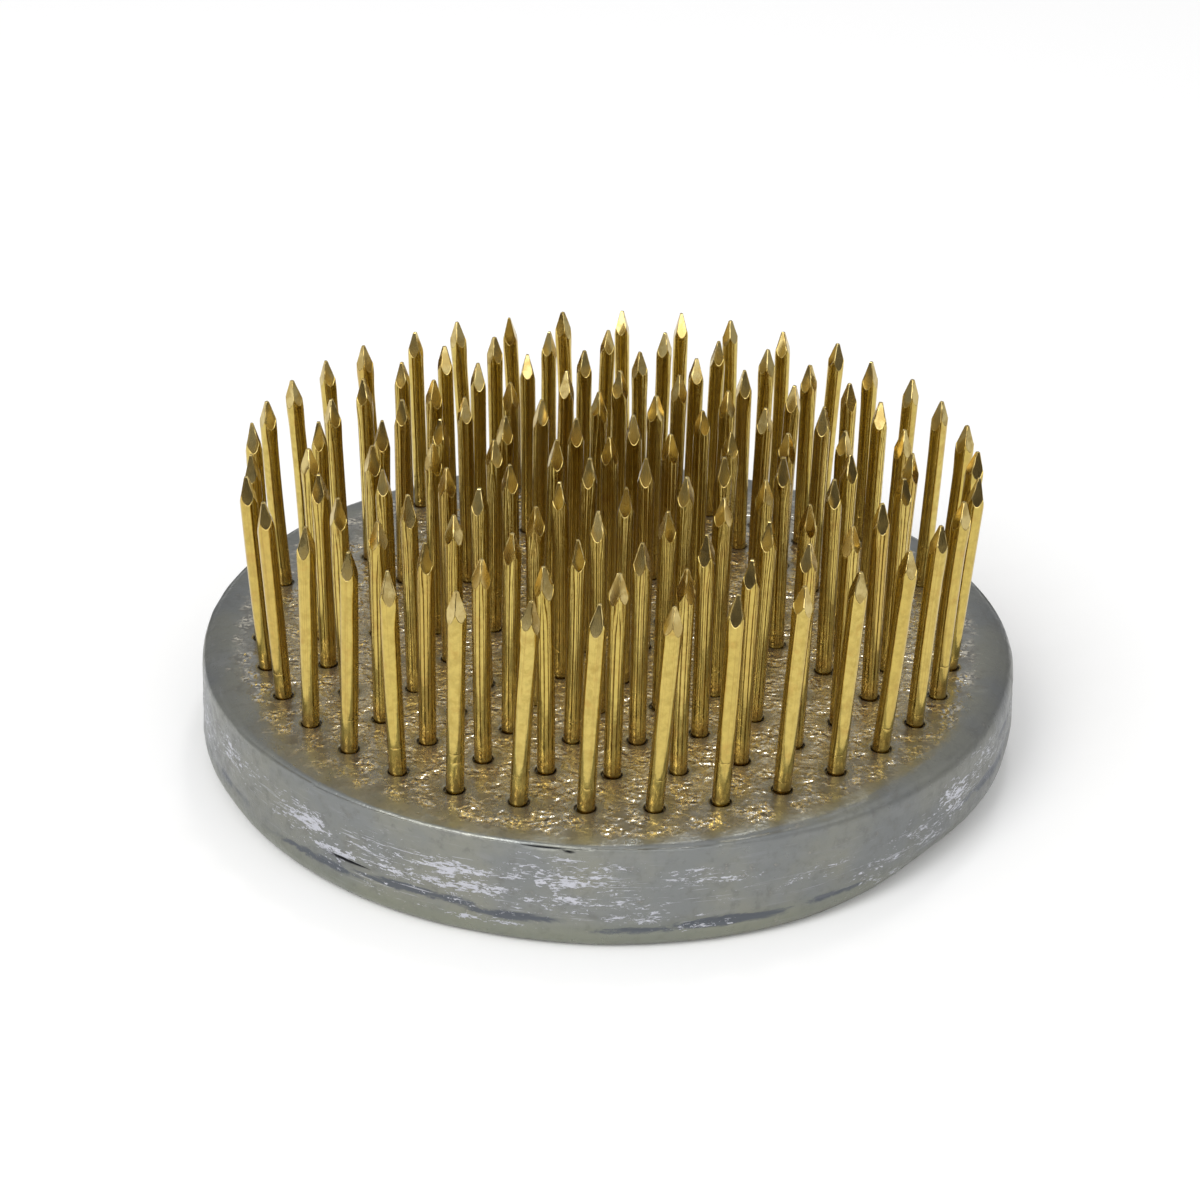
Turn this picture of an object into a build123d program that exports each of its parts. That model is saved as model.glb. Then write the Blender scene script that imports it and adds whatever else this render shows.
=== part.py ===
from build123d import *
import math
import os
import random

# A round pin holder for cut flowers (a kenzan): a heavy cast disc that holds 127 sharpened
# brass pins, all alike, in six rings around one centre pin. Nothing on it moves.
# The origin is the centre of the underside, +Z is up, and lengths are in millimetres.

# Cast base
BASE_D = 75.0  # widest, at the foot
BASE_H = 9.6
DRAFT = 3.4  # degrees that the side leans in, so that the casting leaves its mould
RIM_ROUND = 1.1  # upper edge
FOOT_ROUND = 0.9  # lower edge

# Pin
PIN_D = 1.5
PIN_REACH = 18.6  # from the base's top face to the point
PIN_BURIED = 7.0  # cast into the base
POINT_ANGLE = 13.5  # degrees between each of the four flats and the pin's axis
POINT_BLUNT = 0.1  # width of the flat left at the very tip
FLATS = 4

# The casting draws back from each pin and leaves a small pit around it
PIT_D = 1.95
PIT_ANGLE = 90.0  # degrees across the pit's cone

# Layout: ring n holds 6 n pins, each ring starting at the same bearing
RINGS = 6
SIXTHS = 6  # each ring is written as six groups of n pins
RING_PITCH = 5.25
FIRST_BEARING = 7.5  # degrees from +X, counter-clockwise from above

# How far the pins lean out of upright, in degrees
SPLAY = {5: 0.5, 6: 2.5}  # the outer rings spread outward
LEAN_SPREAD = 0.7  # scatter of an ordinary pin
LEAN_LIMIT = 1.4
SEED = 7

chance = random.Random(SEED)


def scatter():
    lean = chance.gauss(0, LEAN_SPREAD)
    return max(-LEAN_LIMIT, min(LEAN_LIMIT, lean))


def pin_plane(ring, place):
    """The plane at a pin's foot on the top face: its normal runs up the pin's axis."""
    bearing = math.radians(FIRST_BEARING + place * 360 / max(1, ring * SIXTHS))
    outward = Vector(math.cos(bearing), math.sin(bearing), 0)
    sideways = Vector(-outward.Y, outward.X, 0)
    tilt_out = outward * math.tan(math.radians(SPLAY.get(ring, 0) + scatter()))
    tilt_side = sideways * math.tan(math.radians(scatter()))
    axis = Vector(0, 0, 1) + tilt_out + tilt_side
    foot = outward * (ring * RING_PITCH) + Vector(0, 0, BASE_H)
    turn = chance.uniform(0, 360 / FLATS)
    return Plane(origin=foot, x_dir=(1, 0, 0), z_dir=axis).rotated((0, 0, turn))


centre_plane = pin_plane(0, 0)
ring_planes = {
    ring: [pin_plane(ring, place) for place in range(ring * SIXTHS)]
    for ring in range(1, RINGS + 1)
}
all_planes = [centre_plane] + [plane for ring in ring_planes.values() for plane in ring]

os.makedirs("parts", exist_ok=True)

# The base: one casting, drafted, with its edges rounded and a blind seat for every pin
with BuildPart() as base:
    with BuildSketch():
        Circle(BASE_D / 2)
    extrude(amount=BASE_H, taper=DRAFT)
    fillet(base.edges().group_by(Axis.Z)[-1], RIM_ROUND)
    fillet(base.edges().group_by(Axis.Z)[0], FOOT_ROUND)
    with Locations(*all_planes):
        CounterSinkHole(PIN_D / 2, PIT_D / 2, depth=PIN_BURIED, counter_sink_angle=PIT_ANGLE)

base.part.label = "base"
export_step(base.part, "parts/base.step")

# One pin: drawn wire with four flats ground to a point, modelled with its foot at the origin
with BuildPart() as pin:
    with BuildSketch(Plane.XY.offset(-PIN_BURIED)):
        Circle(PIN_D / 2)
    extrude(amount=PIN_BURIED + PIN_REACH)
    for side in range(FLATS):
        turned = math.radians(side * 360 / FLATS)
        facing = Vector(math.cos(turned), math.sin(turned), 0)
        slope = facing + Vector(0, 0, math.tan(math.radians(POINT_ANGLE)))
        edge = facing * (POINT_BLUNT / 2) + Vector(0, 0, PIN_REACH)
        split(bisect_by=Plane(origin=edge, z_dir=slope), keep=Keep.BOTTOM)

with BuildPart() as pin_centre:
    with Locations(centre_plane):
        add(pin.part)

pin_centre.part.label = "pin_centre"
export_step(pin_centre.part, "parts/pin_centre.step")

for ring, planes in ring_planes.items():
    for sixth in range(SIXTHS):
        name = f"pins_ring{ring}_sixth{sixth + 1}"
        with BuildPart() as group:
            with Locations(*planes[sixth * ring : (sixth + 1) * ring]):
                add(pin.part)

        group.part.label = name
        export_step(group.part, f"parts/{name}.step")
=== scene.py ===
import math
import random

import bpy
import numpy as np
from mathutils import Matrix, Vector
from mathutils.geometry import delaunay_2d_cdt


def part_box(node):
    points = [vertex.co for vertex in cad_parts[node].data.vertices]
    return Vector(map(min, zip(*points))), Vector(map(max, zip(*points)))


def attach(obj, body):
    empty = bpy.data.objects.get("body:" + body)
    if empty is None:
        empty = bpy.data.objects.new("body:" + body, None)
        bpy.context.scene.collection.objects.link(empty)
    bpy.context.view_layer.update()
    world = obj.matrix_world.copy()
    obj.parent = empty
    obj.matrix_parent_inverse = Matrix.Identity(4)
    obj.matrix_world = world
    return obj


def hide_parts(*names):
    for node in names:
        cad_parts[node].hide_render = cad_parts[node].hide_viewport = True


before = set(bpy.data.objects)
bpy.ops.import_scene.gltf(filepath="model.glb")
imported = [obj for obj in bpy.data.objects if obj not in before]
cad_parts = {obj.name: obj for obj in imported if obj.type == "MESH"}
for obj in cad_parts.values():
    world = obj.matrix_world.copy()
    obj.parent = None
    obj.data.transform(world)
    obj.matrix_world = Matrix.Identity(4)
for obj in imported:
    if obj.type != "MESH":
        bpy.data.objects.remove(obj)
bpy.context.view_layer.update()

# A round flower pin holder: a cast lead disc with 127 brass pins. Lengths are in millimetres
# until a mesh is written, which is in metres like the frame. The floor and the lights are in
# metres from the start, and so is every pattern placed by object coordinates. Bearings run
# counter-clockwise from +X, seen from above.
MM = 0.001

# ------------------------------------------------------------------ camera
CAMERA_RISE = math.radians(27.6)
CAMERA_AWAY = 209.9
CAMERA_AIM = Vector((-0.70, 0.0, 11.96))
CAMERA_ROLL = math.radians(1.12)
CAMERA_LENS = 68.5
CAMERA_SENSOR = 36.0


def make_camera():
    back = Vector((0, -math.cos(CAMERA_RISE), math.sin(CAMERA_RISE)))
    place = Vector((0, 0, CAMERA_AIM.z)) + back * CAMERA_AWAY
    forward = (CAMERA_AIM - place).normalized()
    right = forward.cross(Vector((0, 0, 1))).normalized()
    turn = Matrix.Rotation(CAMERA_ROLL, 3, -forward)
    right = turn @ right
    up = right.cross(forward)
    axes = Matrix((right, up, -forward)).transposed().to_4x4()
    data = bpy.data.cameras.new("camera")
    data.lens = CAMERA_LENS
    data.sensor_width = CAMERA_SENSOR
    data.clip_start = 0.01
    data.clip_end = 10.0
    camera = bpy.data.objects.new("camera", data)
    camera.matrix_world = Matrix.Translation(place * MM) @ axes
    bpy.context.collection.objects.link(camera)
    bpy.context.scene.camera = camera


# ------------------------------------------------------------------ helpers
class Nodes:
    """Shorthand for building the node tree of a material or a world."""

    def __init__(self, owner, shader="Principled BSDF"):
        owner.use_nodes = True
        self.owner = owner
        self.tree = owner.node_tree
        self.shader = self.tree.nodes[shader]

    def add(self, kind, inputs=None, **settings):
        node = self.tree.nodes.new("ShaderNode" + kind)
        for key, value in settings.items():
            setattr(node, key, value)
        for key, value in (inputs or {}).items():
            self.set(node.inputs[key], value)
        return node

    def set(self, socket, value):
        if isinstance(value, bpy.types.NodeSocket):
            self.tree.links.new(value, socket)
        else:
            socket.default_value = value

    def maths(self, operation, a, b=0.0, c=0.0, clamp=False):
        node = self.add("Math", {0: a, 1: b, 2: c}, operation=operation, use_clamp=clamp)
        return node.outputs[0]

    def vector(self, operation, a, b):
        return self.add("VectorMath", {0: a, 1: b}, operation=operation).outputs[0]

    def noise(self, where, scale, detail=3.0, roughness=0.55, distortion=0.0):
        inputs = {
            "Vector": where,
            "Scale": scale,
            "Detail": detail,
            "Roughness": roughness,
            "Distortion": distortion,
        }
        return self.add("TexNoise", inputs).outputs["Fac"]

    def ramp(self, value, low, high, to_low=0.0, to_high=1.0):
        inputs = {0: value, 1: low, 2: high, 3: to_low, 4: to_high}
        return self.add("MapRange", inputs, interpolation_type="SMOOTHSTEP").outputs[0]

    def mix(self, share, a, b, blend="MIX"):
        node = self.add("Mix", data_type="RGBA", blend_type=blend)
        self.set(node.inputs[0], share)
        self.set(node.inputs[6], a)
        self.set(node.inputs[7], b)
        return node.outputs[2]

    def attribute(self, name):
        return self.add("Attribute", attribute_name=name).outputs["Fac"]

    def bump(self, height, distance, strength=1.0, normal=None):
        inputs = {"Height": height, "Distance": distance, "Strength": strength}
        if normal is not None:
            inputs["Normal"] = normal
        return self.add("Bump", inputs).outputs[0]


# The hash behind value_noise: whole numbers that scatter neighbouring cells well
HASH_SEED_STEP = 7919
HASH_START = 17
HASH_FACTOR = 1103515245
HASH_ADD = 12345
HASH_SHIFT = 13
HASH_MASK = 0x7FFFFFFF
HASH_LEVELS = 20011


def value_noise(points, cell, seed):
    """Smooth noise from -1 to 1 at each point, with features about one cell across."""
    spots = np.asarray(points, float) / cell
    low = np.floor(spots).astype(np.int64)
    part = spots - low
    part = part * part * (3 - 2 * part)
    total = np.zeros(len(spots))
    for corner in range(2 ** spots.shape[1]):
        bits = [(corner >> axis) & 1 for axis in range(spots.shape[1])]
        hashed = np.full(len(spots), seed * HASH_SEED_STEP + HASH_START, np.int64)
        share = np.ones(len(spots))
        for axis, bit in enumerate(bits):
            hashed = (hashed ^ (low[:, axis] + bit)) * HASH_FACTOR + HASH_ADD
            hashed = (hashed ^ (hashed >> HASH_SHIFT)) & HASH_MASK
            share *= part[:, axis] if bit else 1 - part[:, axis]
        total += share * ((hashed % HASH_LEVELS) / (HASH_LEVELS / 2) - 1)
    return total


def new_piece(name, vertices, faces, material, nodes):
    """A mesh piece from millimetres, riding on the one body and standing for CAD nodes."""
    mesh = bpy.data.meshes.new(name)
    mesh.from_pydata(np.asarray(vertices) * MM, [], faces)
    mesh.update()
    mesh.shade_smooth()
    mesh.materials.append(material)
    piece = bpy.data.objects.new(name, mesh)
    bpy.context.collection.objects.link(piece)
    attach(piece, "root")
    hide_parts(*nodes)
    return piece


def add_attribute(mesh, name, values):
    layer = mesh.attributes.new(name, "FLOAT", "POINT")
    layer.data.foreach_set("value", np.asarray(values, np.float32))


# ------------------------------------------------------------------ the pins' places
PIN_R = 0.75
PIN_BURIED = 7.0
PIN_REACH = 18.6  # from the base's top face to the point
FOOT_BAND = 1.0  # corner points this close to a pin's lowest one are its buried end
POINT_BAND = 0.05  # and this close to its highest one, its point


def islands(mesh):
    """The corner points of each separate solid in a CAD node's mesh, in millimetres."""
    points = np.empty(len(mesh.vertices) * 3)
    mesh.vertices.foreach_get("co", points)
    points = points.reshape(-1, 3) / MM
    # the faces don't share corners, so corners at one place are joined first
    places, joined = np.unique(np.round(points, 3), axis=0, return_inverse=True)
    joined = joined.reshape(-1)
    edges = np.empty(len(mesh.edges) * 2, int)
    mesh.edges.foreach_get("vertices", edges)
    a, b = joined[edges].reshape(-1, 2).T
    owner = np.arange(len(places))
    while True:
        before = owner.copy()
        least = np.minimum(owner[a], owner[b])
        np.minimum.at(owner, a, least)
        np.minimum.at(owner, b, least)
        owner = owner[owner]
        if (owner == before).all():
            return [places[owner == one] for one in np.unique(owner)]


def pin_axis(points):
    """A CAD pin's buried end, its point, and one corner of the square left at the point."""
    foot = points[points[:, 2] < points[:, 2].min() + FOOT_BAND]
    point = points[points[:, 2] > points[:, 2].max() - POINT_BAND]
    return (foot.min(0) + foot.max(0)) / 2, point.mean(0), point[0]


base_low, base_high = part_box("base")
BASE_R = (base_high[0] - base_low[0]) / 2 / MM
BASE_H = base_high[2] / MM

pin_nodes = sorted(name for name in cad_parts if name.startswith("pin"))
pins = {}
for node_name in pin_nodes:
    pins[node_name] = [pin_axis(points) for points in islands(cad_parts[node_name].data)]


# ------------------------------------------------------------------ brass pins
QUARTER = (0, 9, 18, 26, 33, 39, 43, 45, 47, 51, 57, 64, 72, 81)  # degrees, close by the ridge
SHARP_ANGLE = math.radians(11)
PIN_SEED = 11
FAR = 1e9  # further from the axis than any part of a pin

# The four flats, and how far each may differ from its usual angle and width at the tip
FLATS = 4
POINT_ANGLE = 13.5
POINT_ANGLE_CHANGE = (-1.2, 1.4)
TIP_WIDTH = 0.155
TIP_WIDTH_CHANGE = (-0.035, 0.04)
FLAT_SEEN = 0.05  # a flat's distance counts where the cosine of the angle from it is above this
SHOULDER_SEEN = 0.6

# The ridges between flats are worn at their edge, and stand out a little at the shoulder
RIDGE_WORN = (0.02, 0.05)
WEAR_ANGLE = 0.8
WEAR_LIMIT = 0.5
LEAST_REACH = 0.05
RIDGE_SWELL = 0.09  # as a share of the radius
SWELL_CHANGE = (0.3, 1.4)
SWELL_LENGTH = 0.9
SWELL_SHARPNESS = 6

# A pin bows slightly, and has cross nicks near its foot
BOW = (0.0, 0.13)
NICK_COUNTS = (1, 2, 2, 3, 4)
NICK_HEIGHTS = (0.9, 4.0)
NICK_ANGLES = (0.5, 1.4)  # half the stretch round the pin, in radians
NICK_DEPTHS = (0.018, 0.042)
NICK_HALF_HEIGHT = 0.05

# Where the rows of points lie
BURIED_ROWS = (-PIN_BURIED, -PIN_BURIED / 2, -0.6)
SHANK_TOP = 14.2
SHANK_STEP = 0.6
NICK_ROWS = (-0.09, -0.035, 0.0, 0.035, 0.09)
SHOULDER_ROWS = (0.3, 0.55, 0.75, 0.88, 0.95, 0.985)  # shares of the way from shank to shoulder
SHOULDER_SLACK = 1.02
FLAT_ROWS = (0.02, 0.08, 0.2, 0.35, 0.5, 0.65, 0.8, 0.9, 0.96, 1.0)  # and from shoulder to tip
TIP_ROWS = ((0.035, 0.86), (0.06, 0.62), (0.07, 0.3))  # height above the tip, share of its width


def angle_between(first, second):
    """The angle between two directions round the pin, without its sign."""
    return np.abs((first - second + math.pi) % (2 * math.pi) - math.pi)


def pin_shape(chance):
    """One pin's surface: rows of points round its axis, from the buried end to the point."""
    steps = [quarter * 90 + step for quarter in range(FLATS) for step in QUARTER]
    angles = np.radians(np.array(steps, float))
    slopes = [math.tan(math.radians(POINT_ANGLE + chance.uniform(*POINT_ANGLE_CHANGE))) for _ in range(FLATS)]
    tips = [TIP_WIDTH + chance.uniform(*TIP_WIDTH_CHANGE) for _ in range(FLATS)]
    worn = [chance.uniform(*RIDGE_WORN) for _ in range(FLATS)]
    cosines = [np.cos(angles - math.radians(90 * flat)) for flat in range(FLATS)]

    def ridge_wear(reach):
        """The share of the distance that is left where a ridge between two flats is worn off."""
        wear = np.zeros(len(angles))
        for quarter, depth in enumerate(worn):
            off = angle_between(angles, math.radians(90 * quarter + 45))
            wear = np.maximum(wear, depth - reach * np.sin(np.minimum(off, WEAR_ANGLE)))
        return 1 - np.clip(wear / np.maximum(reach, LEAST_REACH), 0, WEAR_LIMIT)

    def flats(height):
        """Distance from the axis to the nearest flat, along each column."""
        best = np.full(len(angles), FAR)
        for slope, tip, cosine in zip(slopes, tips, cosines):
            width = tip + np.maximum(PIN_REACH - height, 0) * slope
            reach = np.where(cosine > FLAT_SEEN, width / np.maximum(cosine, FLAT_SEEN), FAR)
            best = np.minimum(best, reach)
        return best * ridge_wear(best)

    shoulder = np.full(len(angles), FAR)
    for slope, tip, cosine in zip(slopes, tips, cosines):
        drop = PIN_REACH - (PIN_R * cosine - tip) / slope
        shoulder = np.where(cosine > SHOULDER_SEEN, np.minimum(shoulder, drop), shoulder)

    ridge = np.abs(np.sin(2 * angles)) ** SWELL_SHARPNESS
    swell = RIDGE_SWELL * chance.uniform(*SWELL_CHANGE)
    bow = chance.uniform(*BOW)
    bow_way = chance.uniform(0, 2 * math.pi)
    nicks = sorted(chance.uniform(*NICK_HEIGHTS) for _ in range(chance.choice(NICK_COUNTS)))
    cuts = [
        (chance.uniform(0, 2 * math.pi), chance.uniform(*NICK_ANGLES), chance.uniform(*NICK_DEPTHS))
        for _ in nicks
    ]
    rows, along, ground, nicked = [], [], [], []

    def add_row(height, radius, on_flat, mark=0.0):
        lift = np.broadcast_to(height, angles.shape)
        bend = bow * np.sin(np.pi * np.clip(lift / PIN_REACH, 0, 1))
        x = radius * np.cos(angles) + bend * math.cos(bow_way)
        y = radius * np.sin(angles) + bend * math.sin(bow_way)
        rows.append(np.stack([x, y, lift], -1))
        along.append(lift)
        ground.append(np.full(len(angles), on_flat))
        nicked.append(np.broadcast_to(mark, angles.shape))

    def swollen(height):
        """The shank's radius, with its ridges standing out near the shoulder."""
        return PIN_R * (1 + swell * ridge * np.exp(-((height - shoulder.min()) / SWELL_LENGTH) ** 2 * 0.5))

    shank = list(np.arange(0.0, SHANK_TOP, SHANK_STEP))
    shank += [nick + step for nick in nicks for step in NICK_ROWS]
    for height in (*BURIED_ROWS, *sorted(shank)):
        radius = np.full(len(angles), PIN_R)
        mark = np.zeros(len(angles))
        for nick, (where, wide, deep) in zip(nicks, cuts):
            close = max(0.0, 1 - abs(height - nick) / NICK_HALF_HEIGHT)
            cut = close * np.sqrt(np.clip(1 - angle_between(angles, where) / wide, 0, 1))
            radius -= deep * cut
            mark = np.maximum(mark, cut)
        add_row(height, radius, 0.0, mark)

    top = max(shank)
    for share in SHOULDER_ROWS:
        height = top + (shoulder - top) * share
        add_row(height, np.minimum(swollen(height), flats(height) * SHOULDER_SLACK), 0.0)
    add_row(shoulder, np.minimum(flats(shoulder), swollen(shoulder)), 0.5)
    for share in FLAT_ROWS:
        height = shoulder + (PIN_REACH - shoulder) * share
        add_row(height, np.minimum(flats(height), swollen(height)), 1.0)
    for above, share in TIP_ROWS:
        add_row(PIN_REACH + above, flats(PIN_REACH) * share, 1.0)

    columns = len(angles)
    count = len(rows)
    faces = []
    for row in range(count - 1):
        start = row * columns
        for column in range(columns):
            following = (column + 1) % columns
            below, above = start + column, start + columns + column
            faces.append((below, start + following, start + columns + following, above))
    faces.append(tuple(range(columns - 1, -1, -1)))
    faces.append(tuple(range((count - 1) * columns, count * columns)))
    way = np.tile(np.stack([np.cos(angles), np.sin(angles)], -1), (count, 1))
    layers = [np.concatenate(values) for values in (along, ground, nicked)]
    return np.concatenate(rows), faces, *layers, way


def stand_up(points, foot, point, corner):
    """Puts a pin's points on its CAD axis, with its four flats turned as they are there."""
    axis = (point - foot) / np.linalg.norm(point - foot)
    ridge = corner - point
    ridge -= axis * ridge.dot(axis)
    ridge /= np.linalg.norm(ridge)
    other = np.cross(axis, ridge)
    flat = (ridge - other) / math.sqrt(2)
    spin = np.stack([flat, np.cross(axis, flat), axis])
    return points @ spin + foot + axis * PIN_BURIED


def make_pins(node, axes, chance, material):
    """One mesh piece with every pin of a CAD node."""
    points, faces, along, ground, nicked, ways, tone = [], [], [], [], [], [], []
    for foot, point, corner in axes:
        shape, sides, height, flat, nick, way = pin_shape(chance)
        start = sum(len(p) for p in points)
        points.append(stand_up(shape, foot, point, corner))
        faces += [tuple(start + number for number in side) for side in sides]
        along.append(height)
        ground.append(flat)
        nicked.append(nick)
        ways.append(way)
        tone.append(np.full(len(shape), chance.random()))
    name = "brass_" + node
    piece = new_piece(name, np.concatenate(points), faces, material, [node])
    piece.data.set_sharp_from_angle(angle=SHARP_ANGLE)
    way = np.concatenate(ways)
    for layer, values in (("along", along), ("ground", ground), ("nick", nicked), ("tone", tone)):
        add_attribute(piece.data, layer, np.concatenate(values))
    add_attribute(piece.data, "round_x", way[:, 0])
    add_attribute(piece.data, "round_y", way[:, 1])


BRASS_PALE = (0.635, 0.492, 0.146, 1)
BRASS_DEEP = (0.575, 0.43, 0.108, 1)
BRASS_COPPER = (0.57, 0.385, 0.115, 1)
BRASS_WARM = (0.52, 0.34, 0.09, 1)
BRASS_MOTTLED = (0.42, 0.315, 0.085, 1)
BRASS_RUBBED = (0.45, 0.325, 0.08, 1)
BRASS_LINED = (0.395, 0.243, 0.07, 1)
BRASS_GROUND = (0.60, 0.475, 0.20, 1)
BRASS_GROUND_DULL = (0.47, 0.345, 0.12, 1)
BRASS_FOOT_TARNISH_AND_SHADE = (0.33, 0.20, 0.05, 1)
BRASS_NICK_SHADE = (0.16, 0.10, 0.03, 1)
PIN_APART = 50.0  # moves the pattern on from one pin to the next
PIN_FOOT_SHADE_FROM = 2.6  # height above the base's top face where the darkening at the foot begins, tarnish with painted shade
PIN_FOOT_SHADE_FULL = 0.2


def brass():
    n = Nodes(bpy.data.materials.new("pin brass"))
    along = n.attribute("along")
    round_x = n.attribute("round_x")
    round_y = n.attribute("round_y")
    tone = n.attribute("tone")
    ground = n.attribute("ground")
    nick = n.attribute("nick")

    def wrapped(size, stretch):
        """A place on the wire for a pattern, by its scale round the pin and, per millimetre, along it."""
        at = n.maths("ADD", n.maths("MULTIPLY", along, stretch), n.maths("MULTIPLY", tone, PIN_APART))
        inputs = {0: n.maths("MULTIPLY", round_x, size), 1: n.maths("MULTIPLY", round_y, size), 2: at}
        return n.add("CombineXYZ", inputs).outputs[0]

    # drawing lines run along the wire, so the pattern is long one way and fine the other
    lines = n.noise(wrapped(1.27, 0.006), 5.0, 3.0, 0.6)
    # rubbing and grinding leave marks that are about as long as they are wide
    rubs = n.noise(wrapped(0.35, 0.35), 4.0, 5.0, 0.7)
    place = n.add("TexCoord").outputs["Object"]
    blotch = n.noise(place, 700.0, 4.0, 0.6)
    mottle = n.noise(place, 1500.0, 4.0, 0.65)

    shank_tint = n.mix(tone, BRASS_PALE, BRASS_DEEP)
    shank_tint = n.mix(n.ramp(tone, 0.82, 0.95, 0.0, 0.35), shank_tint, BRASS_COPPER)
    shank_tint = n.mix(n.ramp(blotch, 0.52, 0.75), shank_tint, BRASS_WARM)
    shank_tint = n.mix(n.ramp(mottle, 0.42, 0.66, 0.0, 0.5), shank_tint, BRASS_MOTTLED)
    shank_tint = n.mix(n.ramp(rubs, 0.48, 0.66, 0.0, 0.65), shank_tint, BRASS_RUBBED)
    shank_tint = n.mix(n.ramp(lines, 0.5, 0.66, 0.0, 0.45), shank_tint, BRASS_LINED)
    flat_tint = n.mix(n.ramp(blotch, 0.42, 0.6), BRASS_GROUND, BRASS_GROUND_DULL)
    tint = n.mix(ground, shank_tint, flat_tint)
    # darker towards the foot: partly tarnish, partly painted shade standing in for the dark lead reflected
    # there
    foot = n.ramp(along, PIN_FOOT_SHADE_FROM, PIN_FOOT_SHADE_FULL)
    foot = n.maths("MULTIPLY", foot, n.ramp(blotch, 0.35, 0.6, 0.35, 0.9))
    tint = n.mix(foot, tint, BRASS_FOOT_TARNISH_AND_SHADE)
    # painted shade: the nicks are painted dark for the shade inside them
    tint = n.mix(n.maths("MULTIPLY", nick, 0.88), tint, BRASS_NICK_SHADE)
    n.set(n.shader.inputs["Base Color"], tint)
    n.shader.inputs["Metallic"].default_value = 1.0

    shank_rough = n.ramp(lines, 0.3, 0.7, 0.10, 0.22)
    rough = n.mix(ground, shank_rough, n.ramp(blotch, 0.3, 0.7, 0.08, 0.16))
    n.set(n.shader.inputs["Roughness"], rough)
    shank = n.maths("SUBTRACT", 1.0, ground)
    relief = n.bump(n.maths("MULTIPLY", blotch, shank), 0.00002, 1.0)
    relief = n.bump(n.maths("MULTIPLY", lines, shank), 0.000004, 1.0, relief)
    relief = n.bump(n.maths("MULTIPLY", rubs, ground), 0.0000012, 1.0, relief)
    n.set(n.shader.inputs["Normal"], relief)
    return n.owner


# ------------------------------------------------------------------ the cast base
DRAFT = math.radians(3.4)
COLUMNS = 720
RIM_ROWS = 8
SIDE_ROWS = 44
FOOT_ROWS = 8
WIDEST_AT = 0.9  # height at which the side reaches its full width
FOOT_STRETCH = 1.3  # the lower edge's rounding is this much taller than it is deep
UNDERSIDE_ROWS = (0.75, 0.4, 0.1)  # shares of the radius

# The mesh of the top face, with a ring of points round each pin's pit
PIT_STEPS = 24
PIT_EDGE = 1.35
PIT_INSIDE = 0.985  # a face whose middle is within this share of the ring lies in the pit
TOP_SPACING = 0.46
TOP_SHAKE = 0.07
TOP_SEED = 5
RIM_GAP = 0.3
PIT_GAP = 0.25
JOIN_WITHIN = 1e-6

# How the hand-poured edges vary round the disc: bearing, half width in degrees, and change in mm
FOOT_ROUND = 1.1
FOOT_CHANGES = ((-40, 16, 1.9), (-12, 16, 1.5), (-150, 20, 0.7), (70, 35, 0.8), (160, 25, 1.2))
RIM_ROUND = 1.0
RIM_CHANGES = ((-30, 30, 0.9), (-110, 40, -0.6), (-178, 22, 0.3), (100, 40, 0.5))
# Scuffs on the side: bearing, height, half width in degrees, half height in mm, strength
SCUFFS = (
    (-165, 5.0, 13, 3.2, 0.66), (-148, 6.2, 9, 1.9, 0.64), (-131, 5.5, 6, 1.6, 1.0), (-125, 4.2, 6, 0.7, 1.1),
    (-116, 4.8, 26, 2.6, 0.5), (-109, 6.0, 7, 1.1, 0.85), (-106, 4.6, 9, 0.7, 0.95), (-95, 6.4, 8, 1.2, 0.95),
    (-92, 5.0, 20, 2.4, 0.5), (-96, 8.2, 5, 0.5, 0.7), (-84, 3.0, 6, 0.9, 0.8), (-76, 6.0, 6, 0.6, 0.75),
    (-80, 1.9, 8, 0.3, 0.9), (-108, 1.9, 9, 0.3, 0.9), (-62, 4.5, 7, 1.2, 0.4), (-50, 1.7, 8, 0.5, 0.7),
    (-53, 3.2, 5, 1.3, 0.55), (-45, 4.6, 6, 1.8, 0.7), (-36, 5.6, 7, 1.8, 0.72), (-26, 6.4, 9, 1.8, 0.66),
    (-89, 7.5, 5, 0.6, 0.66), (-79, 6.9, 4, 0.5, 0.62), (-12, 6.2, 9, 1.6, 0.5), (14, 3.2, 6, 1.0, 0.5),
    (31, 5.8, 14, 1.6, 0.7), (70, 3.0, 5, 0.8, 0.8), (83, 6.2, 9, 0.8, 0.55),
    (97, 4.6, 16, 2.2, 0.65), (141, 3.4, 7, 1.2, 0.85), (150, 6.4, 11, 1.0, 0.6), (174, 4.2, 8, 1.6, 0.5),
)
# Dark streaks along the side: bearing, height, half width in degrees, half height in mm, strength
STREAKS = (
    (-148, 3.2, 9, 0.5, 0.6), (-130, 2.6, 9, 0.5, 0.8), (-115, 3.1, 10, 0.45, 1.0), (-101, 2.6, 7, 0.4, 0.9),
    (-85, 1.9, 8, 0.35, 1.1), (-74, 2.1, 9, 0.45, 1.3), (-60, 2.3, 6, 0.3, 0.9), (-24, 4.4, 12, 0.5, 1.0),
    (-18, 6.6, 8, 0.35, 0.9),
    (40, 2.4, 16, 0.45, 0.8), (92, 2.8, 14, 0.4, 0.9), (140, 2.2, 15, 0.45, 0.8),
)
# Cracks and nicks: bearing, height, half width in degrees, half height in mm, strength
CRACKS = ((-124, 3.6, 4, 0.14, 1.0), (-97, 9.2, 3, 0.15, 1.0), (-94, 8.9, 1, 0.2, 0.7))

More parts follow.
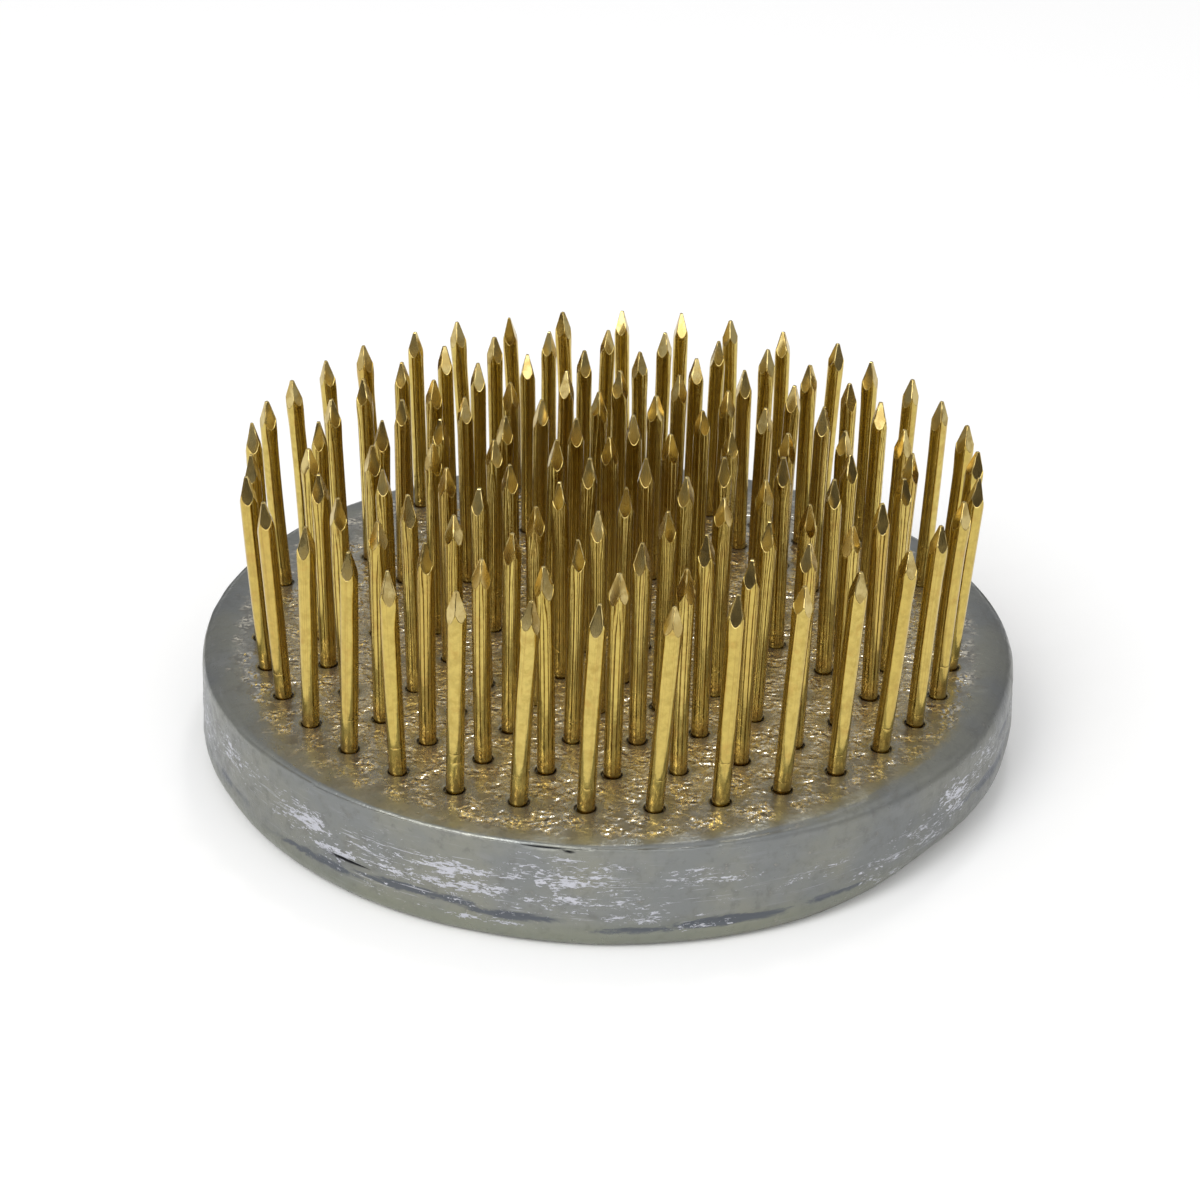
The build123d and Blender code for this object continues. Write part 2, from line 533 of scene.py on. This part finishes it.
# Waves in the side: depth, length across and how many times shorter they are upward, seed
SIDE_WAVES = ((0.10, 14.0, 1.0, 3), (0.05, 5.0, 1.5, 4), (0.03, 2.2, 3.0, 8), (0.012, 0.9, 3.0, 9))
SCUFF_WAVE = (0.05, 1.6, 4.0, 12)
STREAK_DEPTH = 0.10
CRACK_DEPTH = 0.22
WAVE_LIMIT = 0.2
SIDE_OUT = 0.02
SIDE_CHANGES = ((-10, 25, 0.3),)
SIDE_FROM = 33.5  # the radius where the side's unevenness sets in
SIDE_FADE = 2.0

# Waves in the top face: depth, length, seed
TOP_WAVES = ((0.05, 6.0, 5), (0.022, 1.7, 6), (0.022, 0.9, 7))
TOP_LAYER = 0.3  # how far below the top a point still belongs to it
TOP_FALL = 0.14  # how far the top drops towards its edge
TOP_FALL_FROM = 32.5
TOP_FALL_OVER = 4

# Where the lead has set in bright crystals: out to this radius; inside the inner one, more crystals and
# painted light, a lighter golden colour standing in for glints and light among the pins
PINNED_TO = 34.6
PINNED_CHANGES = ((-90, 50, 1.6),)
PINNED_FADE = 2.0
INNER_TO = 32.0
INNER_FADE = 5.0
LIP_TO = 2.0  # the plain lip round a pin
LIP_FADE = 0.85
# Painted shade: the lead is darker round these bearings, on the side and top edge for the first list and
# lower down for the second: bearing, half width in degrees, strength
SIDE_PAINTED_SHADE = ((-170, 38, 0.36), (-12, 40, 0.46))
LOWER_PAINTED_SHADE = ((-45, 40, 0.10),)


def changed(bearing, usual, changes):
    """A size that swells or shrinks smoothly near some bearings."""
    size = np.full(len(bearing), float(usual))
    for middle, width, change in changes:
        away = (bearing - middle + 180) % 360 - 180
        size += change * np.exp(-(away / width) ** 2)
    return size


def marks(bearing, height, spots):
    """How strongly each point lies in any of the spots."""
    total = np.zeros(len(bearing))
    for middle, level, width, rise, strength in spots:
        away = (bearing - middle + 180) % 360 - 180
        total = np.maximum(total, strength * np.exp(-(away / width) ** 2 - ((height - level) / rise) ** 2))
    return total


def side_wave(spots, depth, length, upward, seed):
    """Waves in the side, shorter upward than round it."""
    return depth * value_noise(spots * (1, 1, upward), length, seed)


def side_grid():
    """Rows of points from the top face's edge, over the rim, down the side and under the foot."""
    bearing = np.arange(COLUMNS) * 360 / COLUMNS
    rim = changed(bearing, RIM_ROUND, RIM_CHANGES)
    foot = changed(bearing, FOOT_ROUND, FOOT_CHANGES)
    slope = math.tan(DRAFT)
    top_r = BASE_R - (BASE_H - WIDEST_AT) * slope
    rows = []
    for step in range(RIM_ROWS):
        turn = math.pi / 2 * step / (RIM_ROWS - 1)
        rows.append((top_r - rim + rim * math.sin(turn), BASE_H - rim + rim * math.cos(turn)))
    drop = BASE_H - rim - foot * FOOT_STRETCH
    for step in range(1, SIDE_ROWS):
        height = BASE_H - rim - drop * step / SIDE_ROWS
        rows.append((top_r + (BASE_H - rim - height) * slope, height))
    low_r = top_r + drop * slope
    for step in range(FOOT_ROWS):
        turn = math.pi / 2 * step / (FOOT_ROWS - 1)
        rows.append((low_r - foot + foot * math.cos(turn), foot * FOOT_STRETCH * (1 - math.sin(turn))))
    x, y = np.cos(np.radians(bearing)), np.sin(np.radians(bearing))
    return [np.stack([radius * x, radius * y, height], -1) for radius, height in rows]


def band(first, second, columns):
    """Faces between two closed rows of points, given where each starts."""
    faces = []
    for i in range(columns):
        j = (i + 1) % columns
        faces.append((first + i, second + i, second + j, first + j))
    return faces


def top_face(rim_points, centres, start):
    """The top face between the rim and the pits: new points, faces, each pit's ring of point numbers."""
    flat_r = np.hypot(*rim_points.T).min()
    turns = np.arange(PIT_STEPS) * 2 * math.pi / PIT_STEPS
    ring = np.stack([np.cos(turns), np.sin(turns)], -1)
    pit_points = (centres[:, None] + ring[None] * PIT_EDGE).reshape(-1, 2)
    rows = []
    for row, y in enumerate(np.arange(-BASE_R, BASE_R, TOP_SPACING * math.sqrt(3) / 2)):
        x = np.arange(-BASE_R, BASE_R, TOP_SPACING) + (row % 2) * TOP_SPACING / 2
        rows.append(np.stack([x, np.full(len(x), y)], -1))
    grid = np.concatenate(rows)
    grid = grid + np.random.default_rng(TOP_SEED).uniform(-TOP_SHAKE, TOP_SHAKE, grid.shape)
    nearest = np.min([np.hypot(*(grid - centre).T) for centre in centres], axis=0)
    grid = grid[(np.hypot(*grid.T) < flat_r - RIM_GAP) & (nearest > PIT_EDGE + PIT_GAP)]
    loose = np.concatenate([rim_points, pit_points, grid])
    edges = [(i, (i + 1) % COLUMNS) for i in range(COLUMNS)]
    for pit in range(len(centres)):
        first = COLUMNS + pit * PIT_STEPS
        edges += [(first + i, first + (i + 1) % PIT_STEPS) for i in range(PIT_STEPS)]
    loose = [Vector(point) for point in loose]
    points, _, faces, sources = delaunay_2d_cdt(loose, edges, [], 0, JOIN_WITHIN)[:4]
    flat = np.array([tuple(p) for p in points])
    number, extra, given = {}, [], {}
    for index, origin in enumerate(sources):
        on_rim = [s for s in origin if s < COLUMNS]
        number[index] = on_rim[0] if on_rim else start + len(extra)
        if not on_rim:
            extra.append((*flat[index], BASE_H))
        for source in origin:
            given[source] = number[index]
    middle = np.array([flat[list(face)].mean(0) for face in faces])
    gap = np.min([np.hypot(*(middle - centre).T) for centre in centres], axis=0)
    keep = gap > PIT_EDGE * math.cos(math.pi / PIT_STEPS) * PIT_INSIDE
    kept = [tuple(number[corner] for corner in face) for face, wanted in zip(faces, keep) if wanted]
    firsts = [COLUMNS + pit * PIT_STEPS for pit in range(len(centres))]
    rings = [[given[first + i] for i in range(PIT_STEPS)] for first in firsts]
    return np.array(extra), kept, rings


# The pit round each pin, from its lip down to the seat: radius and depth
SEAT_R = 0.765
PIT_OUTLINE = (
    (1.12, 0.0), (0.95, 0.02), (0.89, 0.06), (0.865, 0.16), (0.84, 0.26), (0.80, 0.32), (SEAT_R, 0.34),
    (SEAT_R, PIN_BURIED),
)
PIT_SHIFT = 0.07  # how far a pit may lie off its pin
PIT_SHIFT_FADE = 0.1  # over this width the shift fades out towards the seat
PIT_SEED = 23


def pits(mouths, rings, start):
    """The pit and seat of each pin, joined to its ring of points in the top face."""
    points, faces = [], []
    turns = np.arange(PIT_STEPS) * 2 * math.pi / PIT_STEPS
    chance = random.Random(PIT_SEED)
    for (mouth, axis), previous in zip(mouths, rings):
        shift = np.array([chance.uniform(-PIT_SHIFT, PIT_SHIFT) for _ in range(2)] + [0])
        for radius, depth in PIT_OUTLINE:
            x, y, z = mouth - axis * depth + shift * min(1.0, (radius - SEAT_R) / PIT_SHIFT_FADE)
            now = [start + len(points) + i for i in range(PIT_STEPS)]
            points += [(x + radius * math.cos(t), y + radius * math.sin(t), z) for t in turns]
            for i in range(PIT_STEPS):
                j = (i + 1) % PIT_STEPS
                faces.append((previous[i], previous[j], now[j], now[i]))
            previous = now
        faces.append(tuple(previous))
    return np.array(points), faces


def make_base(material):
    """The whole casting as one closed mesh: side, underside, top face and pits."""
    grid = side_grid()
    points = np.concatenate(grid)
    faces = []
    for row in range(len(grid) - 1):
        faces += band(row * COLUMNS, (row + 1) * COLUMNS, COLUMNS)
    previous = (len(grid) - 1) * COLUMNS
    for share in UNDERSIDE_ROWS:
        start = len(points)
        points = np.concatenate([points, grid[-1] * (share, share, 1)])
        faces += band(previous, start, COLUMNS)
        previous = start
    faces.append(tuple(previous + i for i in range(COLUMNS - 1, -1, -1)))

    mouths = []
    for foot, point, _ in [pin for group in pins.values() for pin in group]:
        axis = (point - foot) / np.linalg.norm(point - foot)
        mouths.append((foot + axis * (BASE_H - foot[2]) / axis[2], axis))
    centres = np.array([mouth[:2] for mouth, _ in mouths])
    extra, top_faces, rings = top_face(points[:COLUMNS, :2], centres, len(points))
    points = np.concatenate([points, extra])
    faces += top_faces
    extra, pit_faces = pits(mouths, rings, len(points))
    points = np.concatenate([points, extra])
    faces += pit_faces

    # the casting isn't true: its side wavers and its top is uneven
    radius = np.hypot(points[:, 0], points[:, 1])
    bearing = np.degrees(np.arctan2(points[:, 1], points[:, 0]))
    height = points[:, 2].copy()
    way = points[:, :2] / np.maximum(radius, 1e-6)[:, None]
    spot = np.concatenate([way * BASE_R, points[:, 2:]], -1)
    outer = np.clip((radius - SIDE_FROM) / SIDE_FADE, 0, 1)
    scuffed = marks(bearing, height, SCUFFS) * outer
    streaked = marks(bearing, height, STREAKS) * outer
    cracked = marks(bearing, height, CRACKS) * outer
    waver = sum(side_wave(spot, *wave) for wave in SIDE_WAVES)
    waver += scuffed * side_wave(spot, *SCUFF_WAVE) - STREAK_DEPTH * streaked - CRACK_DEPTH * cracked
    waver = np.minimum(waver, WAVE_LIMIT) + changed(bearing, SIDE_OUT, SIDE_CHANGES)
    points[:, :2] += way * (waver * outer)[:, None]
    up = height > BASE_H - TOP_LAYER
    wave = sum(depth * value_noise(points[:, :2], length, seed) for depth, length, seed in TOP_WAVES)
    wave -= TOP_FALL * np.clip((radius - TOP_FALL_FROM) / TOP_FALL_OVER, 0, 1) ** 2
    points[:, 2] += np.where(up, wave, 0)

    piece = new_piece("cast_base", points, faces, material, ["base"])
    edge = changed(bearing, PINNED_TO, PINNED_CHANGES)
    from_pin = np.min([np.hypot(*(points[:, :2] - centre).T) for centre in centres], axis=0)
    # painted shade: how much darker the lead is painted round some bearings of the side
    painted_shade = changed(bearing, 0.0, SIDE_PAINTED_SHADE) * outer + np.where(up, 0, changed(bearing, 0.0, LOWER_PAINTED_SHADE))
    layers = {
        "painted_shade": painted_shade,
        "scuffed": scuffed,
        "streaked": streaked,
        "cracked": cracked,
        "pinned": np.clip((edge - radius) / PINNED_FADE, 0, 1) * up,
        "inner": np.clip((INNER_TO - radius) / INNER_FADE, 0, 1),
        "lip": np.clip(LIP_TO - from_pin, 0, LIP_FADE) / LIP_FADE,
    }
    for layer, values in layers.items():
        add_attribute(piece.data, layer, values)


LEAD_OLIVE = (0.262, 0.264, 0.226, 1)
LEAD_COOL = (0.222, 0.232, 0.228, 1)
LEAD_RUBBED = (0.30, 0.305, 0.30, 1)
LEAD_SPECKS = (0.155, 0.155, 0.145, 1)
LEAD_FOOT = (0.245, 0.255, 0.19, 1)
LEAD_PAINTED_SHADE = (0.10, 0.105, 0.11, 1)
LEAD_SET = (0.305, 0.30, 0.276, 1)
LEAD_SET_DARK = (0.205, 0.20, 0.182, 1)
LEAD_INNER_PAINTED_LIGHT = (0.56, 0.51, 0.38, 1)
LEAD_SHINY_GLINT_TINT = (0.70, 0.655, 0.55, 1)
LEAD_LIP = (0.25, 0.255, 0.235, 1)
LEAD_STREAK = (0.095, 0.105, 0.125, 1)
LEAD_FLAKE = (0.54, 0.545, 0.595, 1)
LEAD_CRACK_SHADE = (0.012, 0.012, 0.014, 1)
FOOT_TINT_FROM = 0.0032  # metres: the greener tint at the foot begins here
FOOT_TINT_FULL = 0.0012
SHINY_ROUGH = 0.07


def lead():
    n = Nodes(bpy.data.materials.new("cast lead"))
    place = n.add("TexCoord").outputs["Object"]
    high = n.add("SeparateXYZ", {0: place}).outputs[2]
    flat_way = n.vector("MULTIPLY", place, (1.0, 1.0, 3.5))
    long_way = n.vector("MULTIPLY", place, (1.0, 1.0, 16.0))
    scuffed = n.attribute("scuffed")
    streaked = n.attribute("streaked")
    inner = n.attribute("inner")
    lip = n.attribute("lip")
    off_lip = n.maths("SUBTRACT", 1.0, lip)
    blotch = n.noise(place, 110.0, 4.0, 0.55)
    fine = n.noise(place, 900.0, 5.0, 0.65)
    grain = n.noise(place, 3600.0, 3.0, 0.6)
    patch = n.noise(place, 520.0, 3.0, 0.55)
    spots = n.noise(place, 3000.0, 2.0, 0.6)
    drag = n.noise(flat_way, 240.0, 6.0, 0.68, 0.6)
    chips = n.noise(flat_way, 1300.0, 4.0, 0.75, 0.5)
    scratches = n.noise(long_way, 190.0, 5.0, 0.65, 0.2)

    # the top between the pins has set in bright crystals; its edge towards the rim is ragged
    rag = n.maths("MULTIPLY", n.maths("SUBTRACT", fine, 0.5), 1.6)
    pinned = n.ramp(n.maths("ADD", n.attribute("pinned"), rag), 0.1, 0.8)
    # the inner part has more of the crystals, and painted light: a lighter golden colour among the pins
    cluster = n.maths("ADD", n.ramp(patch, 0.45, 0.61), n.maths("MULTIPLY", inner, 0.4), clamp=True)
    shiny = n.maths("MULTIPLY", n.ramp(spots, 0.43, 0.56), cluster)
    shiny = n.maths("MULTIPLY", n.maths("MULTIPLY", shiny, pinned), off_lip)

    body = n.mix(n.ramp(blotch, 0.38, 0.62), LEAD_OLIVE, LEAD_COOL)
    body = n.mix(n.ramp(drag, 0.45, 0.75, 0.0, 0.4), body, LEAD_RUBBED)
    body = n.mix(n.ramp(fine, 0.5, 0.7, 0.0, 0.5), body, LEAD_SPECKS)
    body = n.mix(n.ramp(high, FOOT_TINT_FROM, FOOT_TINT_FULL, 0.0, 0.6), body, LEAD_FOOT)
    # painted shade: darker lead round some bearings of the side, standing in for light that falls off there
    body = n.mix(n.attribute("painted_shade"), body, LEAD_PAINTED_SHADE)
    set_lead = n.mix(n.ramp(fine, 0.4, 0.6), LEAD_SET, LEAD_SET_DARK)
    # painted light: a lighter golden ground among the inner pins, against the shade they cast and for the
    # glints of brass there
    set_lead = n.mix(n.maths("MULTIPLY", inner, 0.55), set_lead, LEAD_INNER_PAINTED_LIGHT)
    body = n.mix(pinned, body, set_lead)
    # the shiny crystals: their low roughness is real, and their pale warm colour is partly a painted tint for
    # the glints
    body = n.mix(shiny, body, LEAD_SHINY_GLINT_TINT)
    body = n.mix(n.maths("MULTIPLY", lip, 0.7), body, LEAD_LIP)
    # dark streaks are ragged along the drag marks
    ragged = n.maths("ADD", streaked, n.maths("MULTIPLY", n.maths("SUBTRACT", drag, 0.5), 3.0))
    streak = n.maths("MULTIPLY", n.ramp(ragged, 0.25, 0.75), n.ramp(streaked, 0.05, 0.5, 0.0, 0.88))
    body = n.mix(streak, body, LEAD_STREAK)
    # pale chips lie in clusters, broken up finely, with thin bright scratches among them
    dragged = n.maths("ADD", n.maths("MULTIPLY", scuffed, 0.15), n.maths("MULTIPLY", drag, 0.42))
    flakes = n.maths("ADD", dragged, n.maths("MULTIPLY", chips, 0.58))
    flake = n.maths("MULTIPLY", n.ramp(flakes, 0.615, 0.64), n.ramp(scuffed, 0.05, 0.3))
    scratch = n.maths("MULTIPLY", n.ramp(scratches, 0.60, 0.65), n.ramp(scuffed, 0.1, 0.5, 0.06, 0.9))
    pale = n.maths("MAXIMUM", flake, scratch)
    body = n.mix(pale, body, LEAD_FLAKE)
    # painted shade: the cracks and nicks are painted near black for the shade inside them
    body = n.mix(n.ramp(n.attribute("cracked"), 0.3, 0.6), body, LEAD_CRACK_SHADE)
    n.set(n.shader.inputs["Base Color"], body)
    n.shader.inputs["Metallic"].default_value = 0.87

    rough = n.mix(pinned, n.ramp(fine, 0.3, 0.7, 0.27, 0.42), n.ramp(fine, 0.35, 0.65, 0.22, 0.34))
    rough = n.mix(shiny, rough, (SHINY_ROUGH, SHINY_ROUGH, SHINY_ROUGH, 1))
    n.set(n.shader.inputs["Roughness"], rough)

    grainy = n.maths("ADD", fine, n.maths("MULTIPLY", grain, 0.3))
    relief = n.bump(n.maths("MULTIPLY", grainy, n.ramp(pinned, 0.0, 1.0, 1.0, 0.15)), 0.00006, 0.7)
    crystals = n.maths("SUBTRACT", n.noise(place, 1350.0, 1.2, 0.5), 0.5)
    clumps = n.ramp(patch, 0.42, 0.63, 0.12, 1.0)
    clumps = n.maths("ADD", clumps, n.maths("MULTIPLY", inner, 0.3), clamp=True)
    strength = n.maths("MULTIPLY", n.maths("MULTIPLY", n.attribute("pinned"), off_lip), clumps)
    relief = n.bump(n.maths("MULTIPLY", crystals, strength), 0.00034, 1.0, relief)
    relief = n.bump(n.maths("ADD", flakes, pale), 0.00005, 0.6, relief)
    n.set(n.shader.inputs["Normal"], relief)
    return n.owner


# ------------------------------------------------------------------ floor and light
NEAR_FLOOR = 0.4  # metres: the part of the floor that shows in the brass
FAR_FLOOR = 4.0
FLOOR_STEPS = 96


def floor_ring(name, inner, outer, material):
    steps = FLOOR_STEPS
    turns = [2 * math.pi * i / steps for i in range(steps)]
    points = [(outer * math.cos(t), outer * math.sin(t), 0) for t in turns]
    faces = [tuple(range(steps))]
    if inner:
        points += [(inner * math.cos(t), inner * math.sin(t), 0) for t in turns]
        faces = [(i, (i + 1) % steps, steps + (i + 1) % steps, steps + i) for i in range(steps)]
    mesh = bpy.data.meshes.new(name)
    mesh.from_pydata(points, [], faces)
    mesh.materials.append(material)
    ring = bpy.data.objects.new(name, mesh)
    bpy.context.collection.objects.link(ring)
    return ring


def make_floor():
    n = Nodes(bpy.data.materials.new("pale floor"))
    n.shader.inputs["Base Color"].default_value = (0.95, 0.95, 0.95, 1)
    n.shader.inputs["Roughness"].default_value = 0.9
    n.shader.inputs["Specular IOR Level"].default_value = 0.1
    floor_ring("floor", 0, NEAR_FLOOR, n.owner)
    far = floor_ring("far_floor", NEAR_FLOOR, FAR_FLOOR, n.owner)
    far.visible_glossy = False


SKY_LOW = 0.4
SKY_HIGH = 1.0
SKY_TOP = 0.75
SKY_BACK = 0.6
GAP_FROM = 0.1
GAP_FULL = 0.5
GAP_COLOUR = (0.085, 0.075, 0.06, 1)
SOFTBOX = 3.0
BACKDROP = (0.9, 0.9, 0.9, 1)


def make_world():
    """A studio tent: brightest part way up, and dimmer near the floor, straight overhead and behind.

    Low down in front it has a dark gap with a softbox above it. The camera sees a plain backdrop
    instead of the tent.
    """
    world = bpy.data.worlds.new("tent")
    bpy.context.scene.world = world
    n = Nodes(world, "Background")
    x, y, z = n.add("SeparateXYZ", {0: n.add("TexCoord").outputs["Generated"]}).outputs
    flat = n.maths("SQRT", n.maths("ADD", n.maths("MULTIPLY", x, x), n.maths("MULTIPLY", y, y)))
    front = n.maths("DIVIDE", n.maths("MULTIPLY", y, -1.0), n.maths("MAXIMUM", flat, 0.001))
    sky = n.ramp(z, 0.0, 0.45, SKY_LOW, SKY_HIGH)
    sky = n.maths("MULTIPLY", sky, n.ramp(z, 0.75, 1.0, 1.0, SKY_TOP))
    sky = n.maths("MULTIPLY", sky, n.ramp(front, -0.9, 0.1, SKY_BACK, 1.0))
    gap = n.maths("MULTIPLY", n.ramp(front, GAP_FROM, GAP_FULL), n.ramp(z, 0.05, 0.12, 1.0, 0.0))
    tent = n.mix(gap, n.add("CombineXYZ", {0: sky, 1: sky, 2: sky}).outputs[0], GAP_COLOUR)
    box = n.maths("MULTIPLY", n.ramp(front, 0.80, 0.90), n.ramp(z, 0.13, 0.17))
    box = n.maths("MULTIPLY", box, n.ramp(z, 0.36, 0.42, 1.0, 0.0))
    tent = n.mix(box, tent, (SOFTBOX, SOFTBOX, SOFTBOX, 1))
    seen = n.add("LightPath").outputs["Is Camera Ray"]
    n.set(n.shader.inputs["Color"], n.mix(seen, tent, BACKDROP))
    n.shader.inputs["Strength"].default_value = 1.0


def area_light(name, bearing, rise, away, size, power):
    """A round light that faces the origin, placed in degrees and metres."""
    bearing, rise = math.radians(bearing), math.radians(rise)
    way = Vector((math.cos(bearing) * math.cos(rise), math.sin(bearing) * math.cos(rise), math.sin(rise)))
    data = bpy.data.lights.new(name, "AREA")
    data.shape = "DISK"
    data.size = size
    data.energy = power
    light = bpy.data.objects.new(name, data)
    light.location = way * away
    light.rotation_euler = way.to_track_quat("Z", "Y").to_euler()
    bpy.context.collection.objects.link(light)


def make_light():
    make_world()
    area_light("key", bearing=-130, rise=48, away=0.7, size=0.35, power=1.8)
    area_light("glint", bearing=75, rise=62, away=0.7, size=0.11, power=0.45)
    bpy.context.scene.view_settings.view_transform = "Standard"


make_camera()
make_floor()
make_light()
pin_brass = brass()
chance = random.Random(PIN_SEED)
for node_name in pin_nodes:
    make_pins(node_name, pins[node_name], chance, pin_brass)
make_base(lead())
